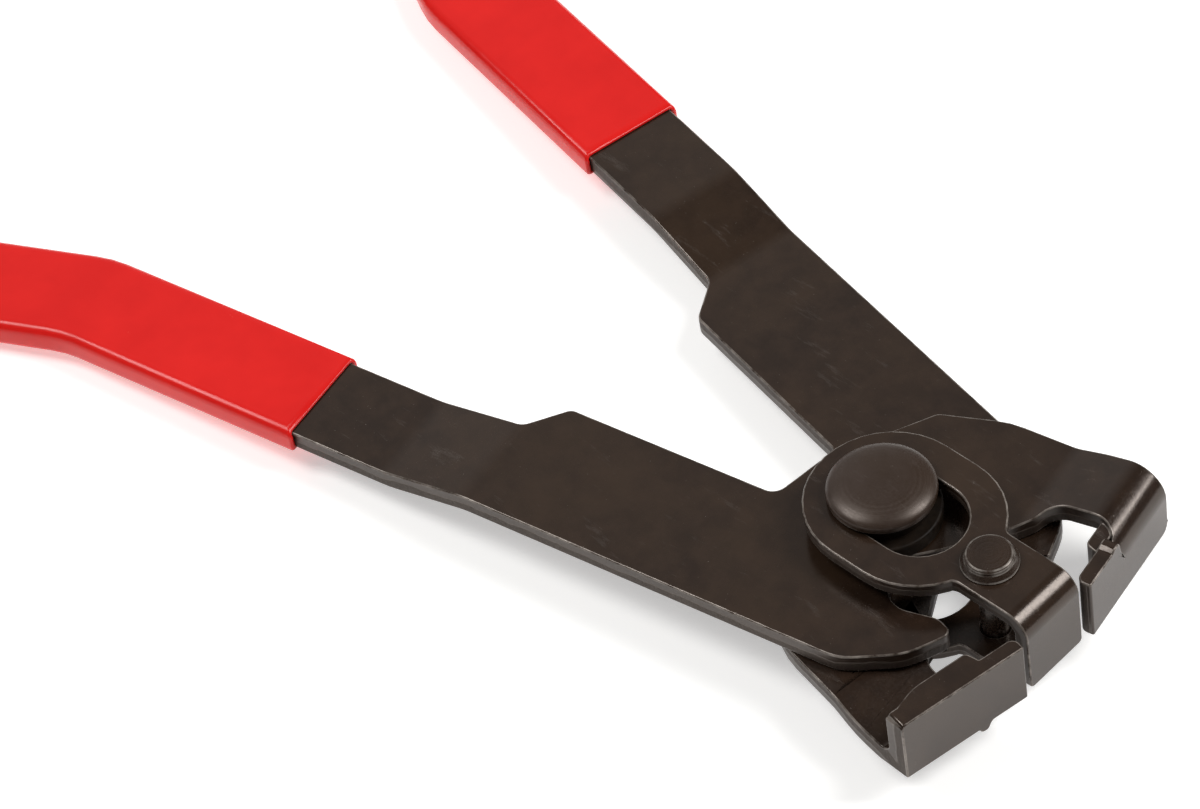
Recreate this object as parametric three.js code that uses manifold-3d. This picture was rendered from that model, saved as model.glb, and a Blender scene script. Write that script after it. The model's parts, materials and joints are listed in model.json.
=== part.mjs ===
// Ear-clamp (CV boot clamp) crimping pliers: two levers crossed on one shouldered rivet, between two
// keyhole plates that slide together, the upper one bent down between the jaws, and dipped handle grips.
// Millimetres, +Z up, +X towards the jaws, tool lying flat in its open pose.
import * as THREE from 'three';
import { mergeVertices } from 'three/addons/utils/BufferGeometryUtils.js';
import Module from 'manifold-3d';

const wasm = await Module();
wasm.setup();

// ---- driving dimensions ----
const SHEET = 4;                      // lever sheet thickness
const FACE_GAP = 0.1;                 // each lever stands this far off the plane where they meet
const OPEN = THREE.MathUtils.degToRad(11);   // each lever away from the tool's axis when open

const HANDLE_W = 19.4;
const EDGE_OUT = -31.1;               // outer edge of blade and handle, from the pivot
const EDGE_IN = -4.4;                 // inner edge of the wide blade
const STEP_U = -64.3;                 // where the blade steps down to handle width
const GRIP_FRONT = -109.5;
const BEND_U = -166;                  // handles flare outwards here
const FLARE = THREE.MathUtils.degToRad(16);
const FLARE_LEN = 38;                 // steel beyond the flare bend
const HANDLE_DROP = 3;                // handle lies this much nearer the other lever's side
const JOGGLE = [-88.6, -71];          // start and end of the handle joggle

const RAMP_U = 22.8;                  // jaw arm starts rising here
const ARM_TOP = 7.3;                  // coined flat over the bend
const ARM_CORNER = 4.45;              // rise of the mid line at the corner where the jaw turns down
const JAW_U = 41;                     // front face of the jaw flange
const JAW_TIP = -7.3;                 // free edge of the flange
const JAW_END = 1;                    // inner end of the jaw, from the lever's own axis
const ARM_OUT = 29.3;                 // outer edge of the jaw arm
const TAB = 3;                        // thickness of the narrow inner end of the jaw
const TAB_TOP = 6.7;
const PAD_TOP = 6;                    // the thicker stretch behind the wide part of the jaw reaches the bend
const TAB_SIDE = 16.2;                // the tab's section ends here, inside the wide part of the jaw
const TAB_ROOT = 10.2;                // the tab joins the bent part here
const ARM_BEND_R = 4;                 // bend radius at mid thickness
// Outer bend radius, height of the bulge beside the bend, outer end of the jaw and the radius of its corner,
// and the inner edge of the rising arm.
const UPPER = { bendR: 6, burr: 0.5, out: 28.3, endR: 2, arch: 15.2 };
const LOWER = { bendR: 1.3, burr: 1.7, out: 27.3, endR: 0.6, arch: 11.6 };

const SHANK_R = 5;
const SHOULDER_R = 8.3;
const HEAD_R = 10;
const HEAD_RIM = 1.2;                 // straight side of the head
const HEAD_DOME = 2.4;
const DOME_POWER = 0.8;               // below 1 the dome is flatter on top than an ellipse
const SPACER_R = 10.6;
const TAIL_R = 9.2;
const TAIL_H = 1.2;
const SEAT_GAP = 0.4;                 // under the rivet's head and over its tail
const FIT = 0.1;                      // radial clearance of turned parts in their holes

const PLATE = 3;                      // keyhole plate
const PLATE_TOP = 10.5;
const RING_R = 15.4;
const RING_BACK = 1.5;
const SLOT_R = 8.6;
const SLOT_BACK = -0.3;
const SLOT_FRONT = 9;
const TONGUE = 6.9;                   // half width
const PLATE_FRONT = 39.1;
const PLATE_TIP = -7.3;
const PLATE_BEND_R = 3;
const LOWER_FRONT = 33;               // the flat lower plate ends here

const PIN_X = 25;
const PIN_R = 2.6;
const PIN_HEAD_R = 5.3;
const PIN_TOP_R = 4.5;
const PIN_HEAD_H = 2.4;
const PIN_TAIL_R = 4.2;
const PIN_TAIL_H = 0.8;

const DIP = 1.2;                      // grip wall over the steel
const DIP_END = 5;                    // solid plastic past the steel

const CIRCLE = 64;
const FAR = 300;                      // cutting outlines reach this far
const BELOW = -20;

// ---- outlines ----

// Points of an outline whose corners are [x, y, fillet radius].
function rounded(corners, closed) {
  const points = [];
  const n = corners.length;
  corners.forEach(([x, y, r = 0], i) => {
    const at = new THREE.Vector2(x, y);
    if (r === 0 || (!closed && (i === 0 || i === n - 1))) {
      points.push(at);
      return;
    }
    const back = new THREE.Vector2(...corners[(i + n - 1) % n]).sub(at).normalize();
    const on = new THREE.Vector2(...corners[(i + 1) % n]).sub(at).normalize();
    const half = Math.acos(THREE.MathUtils.clamp(back.dot(on), -1, 1)) / 2;
    const centre = back.clone().add(on).normalize().multiplyScalar(r / Math.sin(half)).add(at);
    const from = back.clone().multiplyScalar(r / Math.tan(half)).add(at).sub(centre);
    const turn = Math.PI - 2 * half;
    const sign = Math.sign(on.cross(back));
    const steps = Math.max(2, Math.ceil(turn / THREE.MathUtils.degToRad(11)));
    for (let k = 0; k <= steps; k++) {
      points.push(from.clone().rotateAround(new THREE.Vector2(), (sign * turn * k) / steps).add(centre));
    }
  });
  return points;
}

// The corners of a line moved sideways by d, each bend keeping its centre.
function moved(corners, d) {
  const at = corners.map(([x, y]) => new THREE.Vector2(x, y));
  const last = corners.length - 1;
  return corners.map(([x, y, r = 0], i) => {
    const from = Math.max(i - 1, 0);
    const to = Math.min(i, last - 1);
    const before = at[from + 1].clone().sub(at[from]).normalize();
    const after = at[to + 1].clone().sub(at[to]).normalize();
    const middle = before.clone().add(after).normalize();
    const reach = d / middle.dot(before);
    return [x - middle.y * reach, y + middle.x * reach, r > 0 ? r - Math.sign(before.cross(after)) * d : 0];
  });
}

// Outline of a bent sheet: its mid line thickened to both sides. A corner's fourth value, where it has
// one, is the radius that the left side is coined to.
function sheetOutline(corners, thickness) {
  const coined = moved(corners, thickness / 2).map(([x, y, r], i) => [x, y, corners[i][3] ?? r]);
  const left = rounded(coined, false);
  const right = rounded(moved(corners, -thickness / 2), false);
  return [...left, ...right.reverse()];
}

function circle(r, x = 0, y = 0) {
  const points = [];
  for (let k = 0; k < CIRCLE; k++) {
    const a = (2 * Math.PI * k) / CIRCLE;
    points.push(new THREE.Vector2(x + r * Math.cos(a), y + r * Math.sin(a)));
  }
  return points;
}

// Two equal circles of radius r at x = a and x = b, joined by their tangents.
function stadium(r, a, b) {
  const turn = r * 0.999;             // a little under r, so that neighbouring arcs don't touch
  return rounded([[a - r, -r, turn], [b + r, -r, turn], [b + r, r, turn], [a - r, r, turn]], true);
}

// ---- solids ----

function solid(geometry) {
  const bare = new THREE.BufferGeometry();
  const flat = geometry.index ? geometry.toNonIndexed() : geometry;
  bare.setAttribute('position', flat.getAttribute('position').clone());
  const merged = mergeVertices(bare, 1e-5);
  return new wasm.Manifold(new wasm.Mesh({
    numProp: 3,
    vertProperties: new Float32Array(merged.getAttribute('position').array),
    triVerts: new Uint32Array(merged.index.array),
  }));
}

function geometryOf(body) {
  const mesh = body.getMesh();
  const geometry = new THREE.BufferGeometry();
  geometry.setAttribute('position', new THREE.BufferAttribute(new Float32Array(mesh.vertProperties), 3));
  geometry.setIndex(new THREE.BufferAttribute(new Uint32Array(mesh.triVerts), 1));
  return geometry;
}

function extruded(points, depth) {
  return new THREE.ExtrudeGeometry(new THREE.Shape(points), { depth, bevelEnabled: false });
}

// Plan outline in X and Y, from z0 to z1.
function plan(points, z0, z1) {
  return solid(extruded(points, z1 - z0).translate(0, 0, z0));
}

// Side outline in X and Z, from y0 to y1.
function side(points, y0, y1) {
  return solid(extruded(points, y1 - y0).rotateX(Math.PI / 2).translate(0, y1, 0));
}

// Front outline in Y and Z, from x0 to x1.
function front(points, x0, x1) {
  const turn = new THREE.Matrix4().makeBasis(
    new THREE.Vector3(0, 1, 0), new THREE.Vector3(0, 0, 1), new THREE.Vector3(1, 0, 0));
  return solid(extruded(points, x1 - x0).applyMatrix4(turn).translate(x0, 0, 0));
}

// The whole plane between two levels.
function slab(z0, z1) {
  return plan(rounded([[-FAR, -FAR], [FAR, -FAR], [FAR, FAR], [-FAR, FAR]], true), z0, z1);
}

// Turned part about Z from a closed half section of [radius, z].
function turned(section, x = 0) {
  const points = section.map(([r, z]) => new THREE.Vector2(r, z));
  return solid(new THREE.LatheGeometry(points, CIRCLE).rotateX(Math.PI / 2).translate(x, 0, 0));
}

function material(color, roughness, metalness) {
  return new THREE.MeshStandardMaterial({ color, roughness, metalness });
}

const oxide = material(0x3a302c, 0.45, 0.85);
const oxideDark = material(0x2b2625, 0.4, 0.85);
const plastic = material(0xd81f26, 0.3, 0);

// ---- lever ----
// Drawn in its own frame: pivot at the origin, handle along -X, jaw at +X and +Y, sheet above z = 0.

// A point on the flared part of the handle, out past the bend and across the handle.
function flarePoint(out, across) {
  const centre = EDGE_OUT + HANDLE_W / 2;
  return [
    BEND_U - out * Math.cos(FLARE) - across * Math.sin(FLARE),
    centre - out * Math.sin(FLARE) + across * Math.cos(FLARE),
  ];
}

// Both long edges of the handle from the flare's end to u, widened all round by grow.
function handleOutline(u, length, grow) {
  const half = HANDLE_W / 2 + grow;
  const centre = EDGE_OUT + HANDLE_W / 2;
  const shift = half * Math.tan(FLARE / 2);
  const end = length + grow;
  return {
    outer: [[...flarePoint(end, -half), 6], [BEND_U + shift, centre - half, 24], [u, centre - half]],
    inner: [[u, centre + half], [BEND_U - shift, centre + half, 24], [...flarePoint(end, half), 6]],
  };
}

function leverPlan({ out, arch }) {
  const handle = handleOutline(STEP_U - 6.2, FLARE_LEN, 0);
  return rounded([
    handle.outer[0], handle.outer[1],
    [9, EDGE_OUT, 9], [18.8, -25, 12], [23.9, -17.2, 1.6],          // hooked nose
    [20, -15.4, 4], [10.2, -17.2, 5], [6.6, -7.6, 3.5],               // throat
    [13.4, -1.4, 8], [20.9, 7.4, 4], [24, arch - 3.8, 3.5], [25.8, arch + 0.6, 4],
    [JAW_U - 3.6, arch - 0.4, 4.5], [JAW_U - 0.8, TAB_ROOT, 2], [JAW_U + 1, TAB_ROOT],
    [JAW_U + 1, out], [JAW_U - 12, ARM_OUT, 30],
    [9, ARM_OUT, 18], [-3.8, 25.1, 2.5],                            // rounded back of the jaw arm
    [-16.8, 7, 7], [-20.2, EDGE_IN, 3],
    [STEP_U, EDGE_IN, 2.2], handle.inner[0].concat(3),
    handle.inner[1], handle.inner[2],
  ], true);
}

// Sheet mid line seen from the side: handle, joggle, head, rising jaw arm, jaw turned down.
function leverSide(bendR) {
  const mid = FACE_GAP + SHEET / 2;
  return sheetOutline([
    [BEND_U - 60, mid - HANDLE_DROP],
    [JOGGLE[0], mid - HANDLE_DROP, 18],
    [JOGGLE[1], mid, 18],
    [RAMP_U, mid, 10],
    [JAW_U - SHEET / 2, mid + ARM_CORNER, ARM_BEND_R, bendR],
    [JAW_U - SHEET / 2, BELOW],
  ], SHEET);
}

// Narrow inner end of the jaw, its back corner rounded to pass in front of the keyhole plate.
function jawTab(burr) {
  const back = JAW_U - TAB;
  const section = plan(rounded([
    [back, JAW_END, 1.6], [JAW_U, JAW_END, 0.4], [JAW_U, TAB_SIDE], [back, TAB_SIDE],
  ], true), BELOW, -BELOW);
  const height = front(rounded([
    [-FAR, BELOW], [TAB_SIDE + 1, BELOW], [TAB_SIDE + 1, 0], [TAB_ROOT + 2.6, 0.6, 3],
    [TAB_ROOT + 1.2, TAB_TOP + burr, 1], [TAB_ROOT - 0.4, TAB_TOP + burr, 0.8], [TAB_ROOT - 1.4, TAB_TOP, 1],
    [-FAR, TAB_TOP],
  ], true), 0, FAR);
  return section.intersect(height);
}

// Thicker stretch behind the wide part of the jaw, its front face inside the sheet.
function jawPad(out) {
  return plan(rounded([
    [JAW_U - 3.4, 8.6], [JAW_U - 2.6, 8.6], [JAW_U - 2.6, out - 0.6], [JAW_U - 3.6, out - 0.6],
    [JAW_U - 5.6, 21, 8], [JAW_U - 5.7, 9.4, 1.2],
  ], true), BELOW, PAD_TOP);
}

// What rounds the outer corner of the jaw's free edge off.
function cornerCut({ out, endR }) {
  const above = JAW_TIP + endR + 0.01;
  const inside = out - endR - 0.01;
  return front(rounded([
    [out + 3, above], [out + 3, BELOW], [inside, BELOW],
    [inside, JAW_TIP], [out, JAW_TIP, endR], [out, above],
  ], true), JAW_U - 8, JAW_U + 2);
}

function leverSolid(jaw) {
  return side(leverSide(jaw.bendR), -FAR, FAR)
    .intersect(plan(leverPlan(jaw), BELOW, ARM_TOP))
    .add(jawPad(jaw.out))
    .add(jawTab(jaw.burr))
    .intersect(slab(JAW_TIP, FAR))
    .subtract(cornerCut(jaw))
    .subtract(plan(circle(SHANK_R + FIT), BELOW, -BELOW));
}

// ---- grip ----

function gripSolid() {
  const z0 = FACE_GAP - HANDLE_DROP;
  const round = 2;
  const body = handleOutline(GRIP_FRONT, FLARE_LEN + DIP_END, DIP - round);
  const outline = rounded([
    body.outer[0], body.outer[1], [GRIP_FRONT - round, body.outer[2][1]],
    [GRIP_FRONT - round, body.inner[0][1]], body.inner[1], body.inner[2],
  ], true);
  const depth = SHEET + 2 * DIP - 2 * round;
  const outside = new THREE.ExtrudeGeometry(new THREE.Shape(outline), {
    depth, bevelSize: round, bevelThickness: round, bevelSegments: 4,
  }).translate(0, 0, z0 - DIP + round);
  const steel = handleOutline(GRIP_FRONT + 5, FLARE_LEN, FIT);
  const pocket = plan(rounded([...steel.outer, ...steel.inner], true), z0 - FIT, z0 + SHEET + FIT);
  return solid(outside).subtract(pocket);
}

// ---- keyhole plate and turned parts ----

// The keyhole plates' outline with its slot and pin hole, far taller than a plate.
function keyhole(frontX, frontR) {
  const ring = plan(stadium(RING_R, RING_BACK, SLOT_FRONT), BELOW, -BELOW);
  const neck = SLOT_FRONT + Math.sqrt(RING_R ** 2 - TONGUE ** 2);
  const tongue = plan(rounded([
    [SLOT_FRONT, -RING_R + 4], [neck - 1.6, -TONGUE - 1.9], [neck, -TONGUE, 2.5], [frontX, -TONGUE, frontR],
    [frontX, TONGUE, frontR], [neck, TONGUE, 2.5], [neck - 1.6, TONGUE + 1.9], [SLOT_FRONT, RING_R - 4],
  ], true), BELOW, -BELOW);
  return ring.add(tongue)
    .subtract(plan(stadium(SLOT_R, SLOT_BACK, SLOT_FRONT), -FAR, FAR))
    .subtract(plan(circle(PIN_R + FIT, PIN_X), -FAR, FAR));
}

function upperPlateSolid() {
  const mid = PLATE_TOP - PLATE / 2;
  const sheet = side(sheetOutline([
    [RING_BACK - RING_R - 2, mid],
    [PLATE_FRONT - PLATE / 2, mid, PLATE_BEND_R],
    [PLATE_FRONT - PLATE / 2, BELOW],
  ], PLATE), -FAR, FAR);
  const corners = front(rounded([
    [-TONGUE, PLATE_TIP, 1], [TONGUE, PLATE_TIP, 1],
    [TONGUE, 0], [FAR, 0], [FAR, FAR], [-FAR, FAR], [-FAR, 0], [-TONGUE, 0],
  ], true), -FAR, FAR);
  return sheet.intersect(keyhole(PLATE_FRONT + 1, 0)).intersect(corners);
}

function lowerPlateSolid() {
  return slab(-PLATE_TOP, PLATE - PLATE_TOP).intersect(keyhole(LOWER_FRONT, 3));
}

// Headed pin through both plates, its tail spread under the lower one.
function guidePinSolid() {
  const seat = PLATE_TOP + 0.05;
  const top = seat + PIN_HEAD_H;
  const tail = -seat - PIN_TAIL_H;
  return turned([
    [0, tail], [PIN_TAIL_R - 0.7, tail], [PIN_TAIL_R, tail + 0.5], [PIN_TAIL_R, -seat], [PIN_R, -seat],
    [PIN_R, seat], [PIN_HEAD_R, seat], [PIN_HEAD_R, seat + 0.35], [PIN_TOP_R, seat + 1.5],
    [PIN_TOP_R, top - 0.4], [PIN_TOP_R - 0.4, top], [0, top],
  ], PIN_X);
}

const SPACER_Z = [FACE_GAP + SHEET + FACE_GAP, PLATE_TOP - PLATE - FACE_GAP];

// Domed head above, a shoulder in each plate's slot, shank through both levers, flat spread tail below.
function rivetSolid() {
  const under = PLATE_TOP + FACE_GAP + SEAT_GAP;
  const step = SPACER_Z[1] + 0.05;
  const rim = under + HEAD_RIM;
  const tail = -under - TAIL_H;
  const section = [
    [0, tail], [TAIL_R - 1, tail], [TAIL_R, tail + 0.7], [TAIL_R, -under], [SHOULDER_R, -under],
    [SHOULDER_R, -step], [SHANK_R, -step], [SHANK_R, step], [SHOULDER_R, step], [SHOULDER_R, under],
    [HEAD_R - 0.3, under], [HEAD_R, under + 0.3],
  ];
  const steps = 10;
  for (let k = 0; k < steps; k++) {
    const a = (k / steps) * (Math.PI / 2);
    section.push([HEAD_R * Math.cos(a) ** DOME_POWER, rim + HEAD_DOME * Math.sin(a)]);
  }
  section.push([0, rim + HEAD_DOME]);
  return turned(section);
}

function ringSolid(outer, inner, [z0, z1]) {
  const c = 0.3;
  return turned([
    [inner, z0], [outer - c, z0], [outer, z0 + c], [outer, z1 - c], [outer - c, z1], [inner, z1], [inner, z0],
  ]);
}

// ---- assembly ----

const upper = (body) => geometryOf(body).rotateZ(OPEN);
const lower = (body) => upper(body).rotateX(Math.PI);

const pieces = [
  ['main_rivet', geometryOf(rivetSolid()), oxideDark],
  ['spacer_upper', geometryOf(ringSolid(SPACER_R, SHANK_R + FIT, SPACER_Z)), oxideDark],
  ['spacer_lower', geometryOf(ringSolid(SPACER_R, SHANK_R + FIT, SPACER_Z)).rotateX(Math.PI), oxideDark],
  ['lever_upper', upper(leverSolid(UPPER)), oxide],
  ['lever_lower', lower(leverSolid(LOWER)), oxide],
  ['grip_upper', upper(gripSolid()), plastic],
  ['grip_lower', lower(gripSolid()), plastic],
  ['keyhole_plate', geometryOf(upperPlateSolid()), oxide],
  ['lower_plate', geometryOf(lowerPlateSolid()), oxide],
  ['guide_pin', geometryOf(guidePinSolid()), oxideDark],
];

const bounds = new THREE.Box3();
for (const [, geometry] of pieces) {
  geometry.computeBoundingBox();
  bounds.union(geometry.boundingBox);
}
const middle = bounds.getCenter(new THREE.Vector3());

const pliers = new THREE.Group();
pliers.name = 'ear_clamp_pliers';
for (const [name, geometry, look] of pieces) {
  geometry.translate(-middle.x, -middle.y, -bounds.min.z);
  geometry.computeVertexNormals();
  const mesh = new THREE.Mesh(geometry, look);
  mesh.name = name;
  pliers.add(mesh);
}

export default pliers;
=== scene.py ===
"""Looks of the ear-clamp pliers: blackened stamped steel and red dipped grips on a pale table.
Every piece is made from its CAD node's mesh, with rounded edges and a procedural material."""

import json
import math

import bmesh
import bpy
from mathutils import Matrix, Vector

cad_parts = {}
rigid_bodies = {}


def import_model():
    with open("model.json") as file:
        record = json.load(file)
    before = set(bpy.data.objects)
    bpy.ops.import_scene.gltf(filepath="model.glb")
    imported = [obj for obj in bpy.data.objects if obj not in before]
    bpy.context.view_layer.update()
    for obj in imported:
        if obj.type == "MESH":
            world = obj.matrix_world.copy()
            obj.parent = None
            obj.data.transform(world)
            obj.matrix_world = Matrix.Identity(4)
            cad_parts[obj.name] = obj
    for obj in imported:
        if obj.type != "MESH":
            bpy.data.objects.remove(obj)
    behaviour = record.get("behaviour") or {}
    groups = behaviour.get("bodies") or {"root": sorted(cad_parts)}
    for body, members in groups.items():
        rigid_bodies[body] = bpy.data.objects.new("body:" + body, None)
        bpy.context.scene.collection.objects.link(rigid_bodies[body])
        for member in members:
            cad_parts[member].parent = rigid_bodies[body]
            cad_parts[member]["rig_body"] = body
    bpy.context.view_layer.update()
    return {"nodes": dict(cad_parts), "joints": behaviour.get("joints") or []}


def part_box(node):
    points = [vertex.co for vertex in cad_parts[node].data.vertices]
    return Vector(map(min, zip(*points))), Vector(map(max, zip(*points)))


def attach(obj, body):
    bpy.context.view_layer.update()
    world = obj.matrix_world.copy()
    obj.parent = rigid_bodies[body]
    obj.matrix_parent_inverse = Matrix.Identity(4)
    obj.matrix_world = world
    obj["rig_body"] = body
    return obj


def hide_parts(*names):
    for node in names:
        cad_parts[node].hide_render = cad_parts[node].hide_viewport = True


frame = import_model()

MM = 0.001

# ---- places on the tool ----

JOINTS = {joint["name"]: joint for joint in frame["joints"]}
UPPER_PIVOT = Vector(JOINTS["upper_lever_turn"]["pos_m"])
LOWER_PIVOT = Vector(JOINTS["lower_lever_turn"]["pos_m"])
PIVOT = (UPPER_PIVOT + LOWER_PIVOT) / 2
OPEN = math.radians(11)               # each lever's angle from the tool's axis, with the handles open
JAW_BEND = 36.5 * MM                  # from the pivot to where the sheet has turned into the jaw

# ---- meshes: joining, and rounding of the edges ----

WELD = 0.004 * MM                     # vertices this close are joined
FLAT_WITHIN = math.radians(0.6)       # neighbouring faces this close in direction are joined
SHEET_EDGE = 0.32 * MM
TURNED_EDGE = 0.2 * MM
GRIP_EDGE = 0.45 * MM
SHARP_SHEET = math.radians(38)        # an edge is rounded where its faces turn by more than this
SHARP_TURNED = math.radians(30)
SHARP_GRIP = math.radians(50)
EVEN_WEIGHT = 60                      # how much the large faces lead the shading
FACING = 0.7                          # a normal this far along a direction faces that way
UPRIGHT = 0.35                        # a face whose normal leans less than this out of level is upright
HEAD_CLEARANCE = 0.45 * MM            # the rivet's head stands less than this above the plate

# ---- colours, linear ----

OXIDE_DARK = (0.017, 0.0095, 0.0062)
OXIDE_WARM = (0.027, 0.0155, 0.0100)
OXIDE_HEAD = (0.034, 0.021, 0.0155)
# paler colour of the rounded edges: partly rubbed steel, partly painted highlight lines along the rims
WORN_SHEET_AND_HIGHLIGHT = (0.24, 0.21, 0.185)
WORN_HEAD = (0.09, 0.078, 0.068)
WORN_PIN_AND_HIGHLIGHT = (0.26, 0.235, 0.21)
OIL_STAIN = (0.040, 0.023, 0.013)
TORN_METAL = (0.040, 0.030, 0.023)
BURNISHED_LINE = (0.12, 0.10, 0.085)
PIT = (0.11, 0.09, 0.075)
SCUFF = (0.09, 0.075, 0.066)
# painted shade: dark dull colours for the rivet's shank and shoulders and for the spacers, under the head
# and between the plates
RECESS_SHADE_DARK = (0.008, 0.005, 0.003)
RECESS_SHADE_BROWN = (0.016, 0.010, 0.006)
VINYL_DEEP = (0.70, 0.0105, 0.0085)
VINYL_BRIGHT = (0.78, 0.014, 0.011)
VINYL_SPECK = (0.85, 0.12, 0.09)
TABLE_WARM = (0.90, 0.892, 0.870)
TABLE_WHITE = (0.92, 0.912, 0.892)

# ---- gloss and lathe marks ----

OILED_REFLECTION = 0.58
OILED_TINT = (1.0, 0.88, 0.80, 1)     # oil over black oxide reflects a little brown
LATHE_LINES = 2200                    # per metre
# low reflection of the painted shade under the rivet's head and between the plates
RECESS_SHADE_REFLECTION = 0.14
VINYL_REFLECTION = 0.3

# ---- table, camera, world and lamps ----

TABLE_GLOW = 0.45
TABLE_REACH = 2.5
TABLE_GAP = 0.05 * MM                 # between the table and the tool's lowest point
CAMERA_AZIMUTH = math.radians(-37.6)
CAMERA_ELEVATION = math.radians(48.25)
CAMERA_ROLL = math.radians(11.0)
CAMERA_LENS = 129.2
CAMERA_NEAR = 10 * MM
CAMERA_FROM_PIVOT = Vector((357.9, -333.5, 593.5)) * MM
WINDOW_TOWARD = Vector((-0.77, 0.38, 0.50)).normalized()
WINDOW_EDGE = 0.78                    # cosine of the angle at which the window's light begins
ROOM_LIGHT = 0.11
WINDOW_LIGHT = 0.5
LAMP_DISTANCE = 1.3


# ---- meshes ----

def copy_of(node, name):
    """A new object with the CAD node's mesh, its split vertices joined and its flat faces made whole."""
    source = frame["nodes"][node]
    mesh = bpy.data.meshes.new(name)
    body = bmesh.new()
    body.from_mesh(source.data)
    bmesh.ops.remove_doubles(body, verts=body.verts, dist=WELD)
    bmesh.ops.dissolve_limit(body, angle_limit=FLAT_WITHIN, verts=body.verts, edges=body.edges)
    body.to_mesh(mesh)
    body.free()
    piece = bpy.data.objects.new(name, mesh)
    bpy.context.scene.collection.objects.link(piece)
    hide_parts(node)
    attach(piece, source["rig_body"])
    return piece


def apply_modifiers(piece):
    """Puts what the modifiers make into the piece's own mesh."""
    graph = bpy.context.evaluated_depsgraph_get()
    made = bpy.data.meshes.new_from_object(piece.evaluated_get(graph))
    piece.modifiers.clear()
    piece.data = made


def round_edges(piece, width, segments=3, angle=SHARP_SHEET):
    """Rounds every edge sharper than angle, and marks the rounded faces in the attribute 'edge'.

    The two material slots are there only while the bevel sorts its faces from the rest."""
    piece.data.materials.append(None)
    piece.data.materials.append(None)
    bevel = piece.modifiers.new("rounding", "BEVEL")
    bevel.width = width
    bevel.segments = segments
    bevel.limit_method = "ANGLE"
    bevel.angle_limit = angle
    bevel.material = 1
    bevel.miter_outer = "MITER_ARC"
    bevel.use_clamp_overlap = False
    apply_modifiers(piece)
    mesh = piece.data
    edge = mesh.attributes.new("edge", "FLOAT", "FACE")
    for face in mesh.polygons:
        edge.data[face.index].value = 1.0 if face.material_index == 1 else 0.0
        face.material_index = 0
        face.use_smooth = True
    mesh.materials.clear()
    smooth = piece.modifiers.new("even_shading", "WEIGHTED_NORMAL")
    smooth.mode = "FACE_AREA"
    smooth.weight = EVEN_WEIGHT
    smooth.keep_sharp = True


def mark_cut_faces(piece, axis_angle, pivot, punched_from):
    """Marks the sheared faces of a bent sheet in 'cut', and how far through the sheet they are in 'depth'.

    The depth is 1 on the side that the punch came from and 0 on the other. The sheet faces up or down,
    and past the bend of a jaw or of the plate's front it faces along the piece."""
    mesh = piece.data
    along = Vector((math.cos(axis_angle), math.sin(axis_angle), 0))
    edge = mesh.attributes["edge"].data
    cut = mesh.attributes.new("cut", "FLOAT", "FACE").data
    rim_normal = [Vector() for _ in mesh.vertices]
    for face in mesh.polygons:
        past_bend = (face.center - pivot).dot(along) > JAW_BEND
        faces_along = past_bend and abs(face.normal.dot(along)) > FACING
        upright = abs(face.normal.z) < UPRIGHT
        rounded = edge[face.index].value == 1
        cut[face.index].value = 1.0 if upright and not rounded and not faces_along else 0.0
        if rounded:
            for index in face.vertices:
                rim_normal[index] += face.normal
    depth = mesh.attributes.new("depth", "FLOAT", "POINT").data
    for vertex, normal in zip(mesh.vertices, rim_normal):
        past_bend = (vertex.co - pivot).dot(along) > JAW_BEND
        sheet_side = normal.dot(along) if past_bend else normal.z
        depth[vertex.index].value = 1.0 if sheet_side * punched_from > 0 else 0.0


# ---- materials ----

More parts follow.
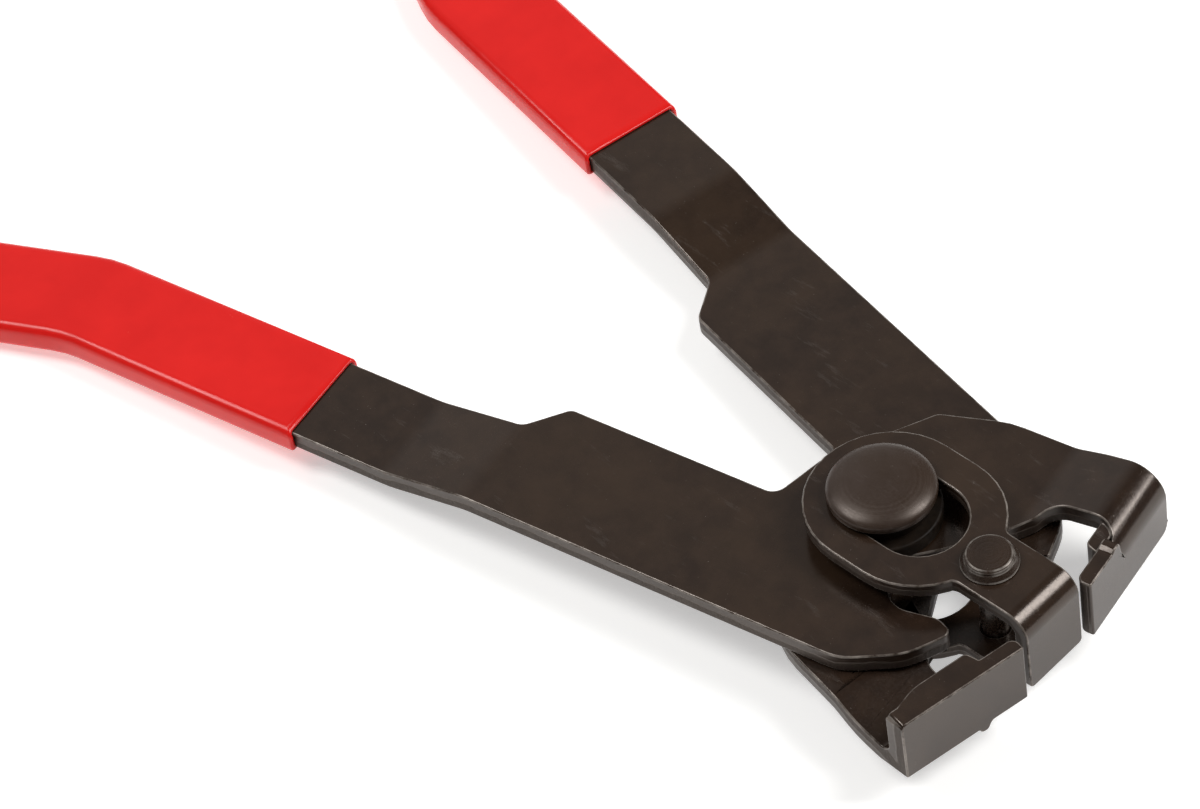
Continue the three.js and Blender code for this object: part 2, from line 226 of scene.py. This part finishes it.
class Nodes:
    """Small helper that adds shader nodes to one material. Places are in metres, on the object."""

    def __init__(self, name):
        self.material = bpy.data.materials.new(name)
        self.material.use_nodes = True
        self.tree = self.material.node_tree
        self.shader = self.tree.nodes["Principled BSDF"]
        self.place = self.add("ShaderNodeTexCoord").outputs["Object"]

    def add(self, kind, **settings):
        node = self.tree.nodes.new(kind)
        for key, value in settings.items():
            setattr(node, key, value)
        return node

    def link(self, source, target):
        self.tree.links.new(source, target)

    def noise(self, per_metre, detail=4.0, roughness=0.55, stretch=(1, 1, 1)):
        """Uneven patches, about one metre divided by per_metre across. A stretch below 1 draws them out."""
        mapping = self.add("ShaderNodeMapping")
        mapping.inputs["Scale"].default_value = stretch
        self.link(self.place, mapping.inputs["Vector"])
        node = self.add("ShaderNodeTexNoise")
        node.inputs["Scale"].default_value = per_metre
        node.inputs["Detail"].default_value = detail
        node.inputs["Roughness"].default_value = roughness
        self.link(mapping.outputs["Vector"], node.inputs["Vector"])
        return node.outputs["Fac"]

    def spread(self, value, low, high, to_low=0.0, to_high=1.0):
        """Takes value from low..high to to_low..to_high, and cuts it off at both ends."""
        node = self.add("ShaderNodeMapRange")
        node.inputs["From Min"].default_value = low
        node.inputs["From Max"].default_value = high
        node.inputs["To Min"].default_value = to_low
        node.inputs["To Max"].default_value = to_high
        self.link(value, node.inputs["Value"])
        return node.outputs["Result"]

    def math(self, kind, a, b):
        """The Math node of a kind, on numbers or sockets."""
        node = self.add("ShaderNodeMath", operation=kind)
        for socket, value in zip(node.inputs, (a, b)):
            if isinstance(value, (int, float)):
                socket.default_value = value
            else:
                self.link(value, socket)
        return node.outputs["Value"]

    def mix(self, factor, a, b):
        """From colour a to colour b, each a colour or a socket."""
        node = self.add("ShaderNodeMix", data_type="RGBA")
        self.link(factor, node.inputs[0])
        for socket, value in ((node.inputs[6], a), (node.inputs[7], b)):
            if isinstance(value, tuple):
                socket.default_value = (*value, 1)
            else:
                self.link(value, socket)
        return node.outputs[2]

    def paint(self, color, mask, amount, other):
        """A colour with another one over it where mask is 1, as strongly as amount."""
        return self.mix(self.math("MULTIPLY", mask, amount), color, other)

    def rings(self, axis):
        """Fine uneven rings around an upright axis, as a lathe leaves them."""
        mapping = self.add("ShaderNodeMapping")
        mapping.inputs["Location"].default_value = (-axis.x, -axis.y, 0)
        mapping.inputs["Scale"].default_value = (1, 1, 0)
        self.link(self.place, mapping.inputs["Vector"])
        radius = self.add("ShaderNodeVectorMath", operation="LENGTH")
        self.link(mapping.outputs["Vector"], radius.inputs[0])
        node = self.add("ShaderNodeTexNoise", noise_dimensions="1D")
        node.inputs["Scale"].default_value = LATHE_LINES
        node.inputs["Detail"].default_value = 3
        self.link(radius.outputs["Value"], node.inputs["W"])
        return node.outputs["Fac"]

    def attribute(self, name):
        return self.add("ShaderNodeAttribute", attribute_name=name).outputs["Fac"]

    def bump(self, height, strength, distance, after=None):
        """Relief from a height, added to the relief in after."""
        node = self.add("ShaderNodeBump")
        node.inputs["Strength"].default_value = strength
        node.inputs["Distance"].default_value = distance
        self.link(height, node.inputs["Height"])
        if after is not None:
            self.link(after, node.inputs["Normal"])
        return node.outputs["Normal"]

    def finish(self, color, roughness, normal):
        self.link(color, self.shader.inputs["Base Color"])
        self.link(roughness, self.shader.inputs["Roughness"])
        self.link(normal, self.shader.inputs["Normal"])
        return self.material


def oxide_base(n, dark, warm):
    """Mottled brown-black colour, with oily stains in broad patches."""
    mottle = n.spread(n.noise(230, 6, 0.62), 0.38, 0.66)
    color = n.mix(mottle, dark, warm)
    stain = n.spread(n.noise(38, 3), 0.46, 0.68)
    return n.paint(color, stain, 0.5, OIL_STAIN)


def sheared(n, color):
    """Colour, extra roughness and relief of the sheared faces: burnished near the punch, torn beyond it.

    The border between the two wanders about the middle of the sheet, with a thin pale line on it. The torn
    part has upright grain."""
    cut = n.attribute("cut")
    wander = n.spread(n.noise(150, 3), 0.3, 0.7, -0.12, 0.12)
    depth = n.math("ADD", n.attribute("depth"), wander)
    torn = n.spread(depth, 0.58, 0.44)
    grain = n.noise(1500, 4, 0.65, stretch=(1, 1, 0.15))
    line = n.math("MULTIPLY", n.spread(depth, 0.46, 0.52), n.spread(depth, 0.60, 0.54))
    pale = n.math("MULTIPLY", n.math("MULTIPLY", cut, torn), n.spread(grain, 0.35, 0.7))
    color = n.paint(color, pale, 0.6, TORN_METAL)
    color = n.paint(color, n.math("MULTIPLY", cut, line), 0.5, BURNISHED_LINE)
    rough = n.math("MULTIPLY", cut, n.spread(torn, 0, 1, 0.16, 0.42))
    height = n.math("MULTIPLY", n.math("MULTIPLY", cut, torn), grain)
    return color, rough, height


def black_oxide(name, dark, warm, rough, worn_and_highlight, relief_depth, marks=0.3, axis=None):
    """Oiled black oxide on steel: mottled, rubbed pale at its edges with painted highlight lines along
    them, finely pitted and scuffed.

    A turned part has an axis, and lathe rings around it. A sheet has none, and has sheared faces."""
    n = Nodes(name)
    color = oxide_base(n, dark, warm)
    if axis is None:
        color, extra_rough, relief = sheared(n, color)
        scale = n.noise(900, 3, 0.6, stretch=(1, 0.3, 1))
    else:
        relief = n.rings(axis)
        extra_rough = n.spread(relief, 0.3, 0.7, 0, 0.08)
        scale = n.noise(900, 3)
    # rounded edges turned paler: partly rubbed steel, partly painted highlight lines
    wear_and_highlight = n.math("MULTIPLY", n.attribute("edge"), n.spread(n.noise(330, 5, 0.62), 0.36, 0.64))
    color = n.paint(color, wear_and_highlight, 0.9, worn_and_highlight)
    pits = n.spread(n.noise(1900, 2), 0.72, 0.77)
    color = n.paint(color, pits, 0.5, PIT)
    scuffs = n.spread(n.noise(310, 6, 0.7, stretch=(0.25, 1, 1)), 0.60, 0.70)
    color = n.paint(color, scuffs, marks, SCUFF)
    roughness = n.spread(n.noise(2300, 3), 0.3, 0.75, rough - 0.05, rough + 0.07)
    roughness = n.math("ADD", roughness, extra_rough)
    roughness = n.math("ADD", roughness, n.math("MULTIPLY", scuffs, 0.08))
    roughness = n.math("SUBTRACT", roughness, n.math("MULTIPLY", wear_and_highlight, 0.07))
    waves = n.noise(120, 3)
    grain = n.noise(2600, 3)
    normal = n.bump(waves, 0.10, 0.25 * MM)
    normal = n.bump(scale, 0.05, 0.05 * MM, after=normal)
    normal = n.bump(grain, 0.02, 0.02 * MM, after=normal)
    normal = n.bump(pits, 0.5, 0.03 * MM, after=normal)
    normal = n.bump(relief, 0.8, relief_depth, after=normal)
    n.shader.inputs["Specular IOR Level"].default_value = OILED_REFLECTION
    n.shader.inputs["Specular Tint"].default_value = OILED_TINT
    return n.finish(color, roughness, normal)


def shaded_recess_material(name):
    """Painted shade: a dull dark colour on the turned steel under the rivet's head and between the plates,
    where shade falls.
    """
    n = Nodes(name)
    color = n.mix(n.spread(n.noise(500, 4), 0.4, 0.65), RECESS_SHADE_DARK, RECESS_SHADE_BROWN)
    roughness = n.spread(n.noise(900, 3), 0.3, 0.7, 0.46, 0.64)
    normal = n.bump(n.noise(1200, 4), 0.3, 0.06 * MM)
    n.shader.inputs["Specular IOR Level"].default_value = RECESS_SHADE_REFLECTION
    return n.finish(color, roughness, normal)


def red_vinyl(name):
    """Dipped vinyl: saturated red, slightly uneven gloss, a few dull specks."""
    n = Nodes(name)
    cloud = n.spread(n.noise(70, 3), 0.35, 0.7)
    color = n.mix(cloud, VINYL_DEEP, VINYL_BRIGHT)
    specks = n.spread(n.noise(520, 2), 0.77, 0.82)
    color = n.paint(color, specks, 0.3, VINYL_SPECK)
    roughness = n.spread(n.noise(300, 4), 0.3, 0.7, 0.19, 0.27)
    normal = n.bump(n.noise(110, 2), 0.10, 0.20 * MM)
    normal = n.bump(n.noise(1400, 3), 0.03, 0.03 * MM, after=normal)
    n.shader.inputs["Specular IOR Level"].default_value = VINYL_REFLECTION
    return n.finish(color, roughness, normal)


def table_top():
    """A white table that glows a little, which keeps the shadows on it pale."""
    n = Nodes("table_top")
    color = n.mix(n.noise(30, 2), TABLE_WARM, TABLE_WHITE)
    roughness = n.spread(n.noise(50, 2), 0, 1, 0.6, 0.7)
    normal = n.bump(n.noise(900, 2), 0.02, 0.05 * MM)
    n.shader.inputs["Emission Color"].default_value = (1, 1, 1, 1)
    n.shader.inputs["Emission Strength"].default_value = TABLE_GLOW
    return n.finish(color, roughness, normal)


def dress(piece, material):
    """Gives a piece its one material."""
    piece.data.materials.clear()
    piece.data.materials.append(material)


def shade_under_head(piece, painted_shade):
    """Gives the rivet's shank and shoulders, between the outer faces of the two plates, the painted shade.
    """
    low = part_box("lower_plate")[0].z
    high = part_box("keyhole_plate")[1].z + HEAD_CLEARANCE
    piece.data.materials.append(painted_shade)
    for face in piece.data.polygons:
        if low < face.center.z < high:
            face.material_index = 1


# ---- pieces ----

pin_low, pin_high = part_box("guide_pin")
pin_axis = (pin_low + pin_high) / 2

sheet_steel = black_oxide(
    "sheet_steel", OXIDE_DARK, OXIDE_WARM, rough=0.19, worn_and_highlight=WORN_SHEET_AND_HIGHLIGHT, relief_depth=0.16 * MM)
rivet_steel = black_oxide(
    "rivet_steel", OXIDE_WARM, OXIDE_HEAD, rough=0.33, worn_and_highlight=WORN_HEAD, relief_depth=0.006 * MM, axis=PIVOT)
pin_steel = black_oxide(
    "pin_steel", OXIDE_DARK, OXIDE_WARM, rough=0.24, worn_and_highlight=WORN_PIN_AND_HIGHLIGHT, relief_depth=0.10 * MM, marks=1.0,
    axis=pin_axis)
# painted shade for the recesses under the rivet's head and between the plates
recess_shade = shaded_recess_material("shaded_recess_material")
vinyl = red_vinyl("vinyl")

pieces = []

for node, angle, pivot, punched_from in (
    ("lever_upper", OPEN, UPPER_PIVOT, 1),
    ("lever_lower", -OPEN, LOWER_PIVOT, -1),
    ("keyhole_plate", 0, PIVOT, 1),
    ("lower_plate", 0, PIVOT, -1),
):
    piece = copy_of(node, node + "_worn")
    round_edges(piece, SHEET_EDGE)
    mark_cut_faces(piece, angle, pivot, punched_from)
    dress(piece, sheet_steel)
    pieces.append(piece)

for node, material in (
    ("main_rivet", rivet_steel),
    ("spacer_upper", recess_shade),
    ("spacer_lower", recess_shade),
    ("guide_pin", pin_steel),
):
    piece = copy_of(node, node + "_worn")
    round_edges(piece, TURNED_EDGE, segments=2, angle=SHARP_TURNED)
    dress(piece, material)
    pieces.append(piece)
    # the rivet's shank under its head gets the painted shade
    if node == "main_rivet":
        shade_under_head(piece, recess_shade)

for node in ("grip_upper", "grip_lower"):
    piece = copy_of(node, node + "_dipped")
    round_edges(piece, GRIP_EDGE, angle=SHARP_GRIP)
    dress(piece, vinyl)
    pieces.append(piece)


# ---- table, light and camera ----

def make_table(pieces):
    """A pale plane through the tool's lowest points: the rivet's tail and the far ends of both grips.

    It slopes along the tool and across it, and lies just low enough that no piece goes through it."""
    grip_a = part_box("grip_upper")
    grip_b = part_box("grip_lower")
    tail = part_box("main_rivet")
    side_slope = (grip_b[0].z - grip_a[0].z) / (grip_b[1].y - grip_a[0].y)
    slope = (tail[0].z - (grip_a[0].z + grip_b[0].z) / 2) / (tail[0].x - grip_a[0].x)
    level = min(
        vertex.co.z - slope * vertex.co.x - side_slope * vertex.co.y
        for piece in pieces for vertex in piece.data.vertices)
    corners = []
    for side_x, side_y in ((-1, -1), (1, -1), (1, 1), (-1, 1)):
        x = side_x * TABLE_REACH
        y = side_y * TABLE_REACH
        corners.append((x, y, level + slope * x + side_slope * y - TABLE_GAP))
    mesh = bpy.data.meshes.new("table")
    mesh.from_pydata(corners, [], [(0, 1, 2, 3)])
    table = bpy.data.objects.new("table", mesh)
    bpy.context.scene.collection.objects.link(table)
    table.data.materials.append(table_top())


def soft_light(name, direction, size, power):
    """A rectangular soft box that looks at the pivot from a direction."""
    light = bpy.data.lights.new(name, "AREA")
    light.shape = "RECTANGLE"
    light.size, light.size_y = size
    light.energy = power
    lamp = bpy.data.objects.new(name, light)
    toward = Vector(direction).normalized()
    lamp.location = PIVOT + toward * LAMP_DISTANCE
    lamp.rotation_euler = toward.to_track_quat("Z", "Y").to_euler()
    bpy.context.scene.collection.objects.link(lamp)


def make_camera():
    """A long lens that looks from the jaws' side and from above, rolled a little."""
    back = Vector((
        math.cos(CAMERA_ELEVATION) * math.cos(CAMERA_AZIMUTH),
        math.cos(CAMERA_ELEVATION) * math.sin(CAMERA_AZIMUTH),
        math.sin(CAMERA_ELEVATION)))
    level = Vector((-math.sin(CAMERA_AZIMUTH), math.cos(CAMERA_AZIMUTH), 0))
    upright = back.cross(level)
    right = level * math.cos(CAMERA_ROLL) - upright * math.sin(CAMERA_ROLL)
    up = back.cross(right)
    camera = bpy.data.objects.new("camera", bpy.data.cameras.new("camera"))
    camera.data.lens = CAMERA_LENS
    camera.data.clip_start = CAMERA_NEAR
    place = PIVOT + CAMERA_FROM_PIVOT
    camera.matrix_world = Matrix.Translation(place) @ Matrix((right, up, back)).transposed().to_4x4()
    bpy.context.scene.collection.objects.link(camera)
    bpy.context.scene.camera = camera


def make_world():
    """A dim studio, a little brighter towards a low window beyond the handles."""
    world = bpy.data.worlds.new("studio")
    world.use_nodes = True
    tree = world.node_tree
    toward = tree.nodes.new("ShaderNodeTexCoord")
    facing = tree.nodes.new("ShaderNodeVectorMath")
    facing.operation = "DOT_PRODUCT"
    facing.inputs[1].default_value = WINDOW_TOWARD
    strength = tree.nodes.new("ShaderNodeMapRange")
    strength.inputs["From Min"].default_value = WINDOW_EDGE
    strength.inputs["From Max"].default_value = 1.0
    strength.inputs["To Min"].default_value = ROOM_LIGHT
    strength.inputs["To Max"].default_value = WINDOW_LIGHT
    background = tree.nodes["Background"]
    background.inputs["Color"].default_value = (1, 1, 1, 1)
    tree.links.new(toward.outputs["Generated"], facing.inputs[0])
    tree.links.new(facing.outputs["Value"], strength.inputs["Value"])
    tree.links.new(strength.outputs["Result"], background.inputs["Strength"])
    bpy.context.scene.world = world
    bpy.context.scene.view_settings.view_transform = "Standard"


make_table(pieces)
make_camera()
make_world()
soft_light("key", direction=(0.48, 0.47, 0.74), size=(0.40, 0.8), power=12.5)
soft_light("fill", direction=(-0.42, -0.33, 0.85), size=(0.45, 0.55), power=8)
